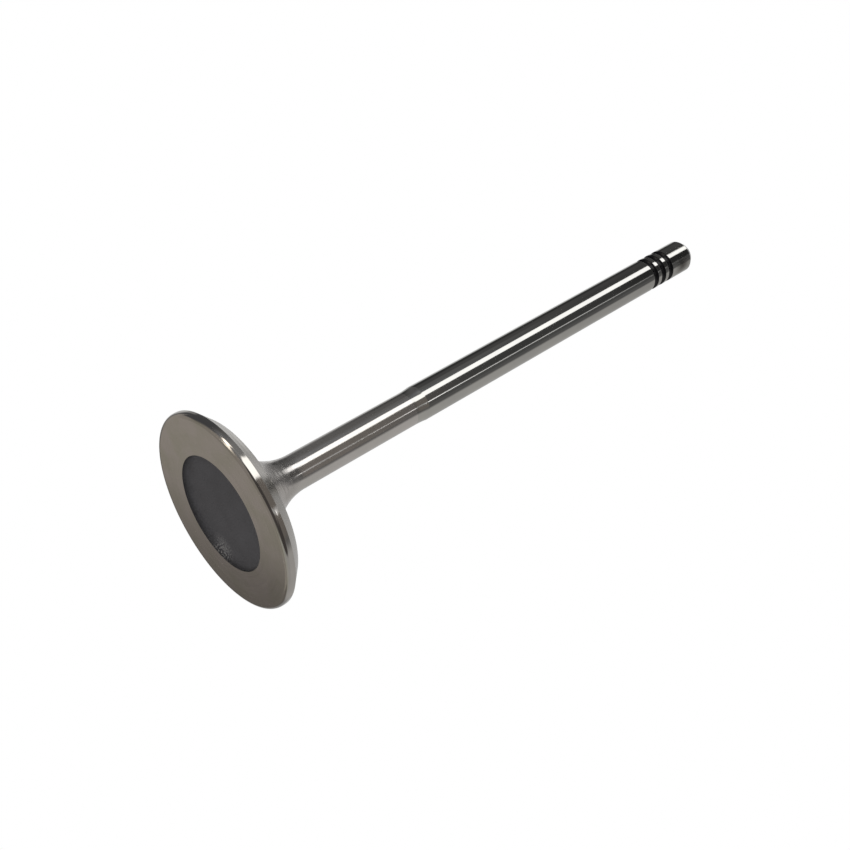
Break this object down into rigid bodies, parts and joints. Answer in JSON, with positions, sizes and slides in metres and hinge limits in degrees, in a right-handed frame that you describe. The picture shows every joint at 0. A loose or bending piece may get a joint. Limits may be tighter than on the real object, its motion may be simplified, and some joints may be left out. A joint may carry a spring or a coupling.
{
  "type": "engine valve",
  "caption": "Poppet valve: round head with a recessed face and a conical seat, curved neck and a slim ground stem with keeper grooves below its bevelled tip.",
  "frame": {"origin": "centre of the flat combustion face, at the bottom of the valve as it stands on its head", "axes": "+Z along the stem from the head to the tip; round about Z, so X and Y are any two directions square to it"},
  "size_m": [0.0314, 0.0314, 0.1071],
  "materials": {
    "valve_steel": "turned head and neck, finely ground stem and seat, dark as-forged floor in the recess"
  },
  "bodies": {
    "root": {"valve": "valve_steel"}
  },
  "joints": []
}
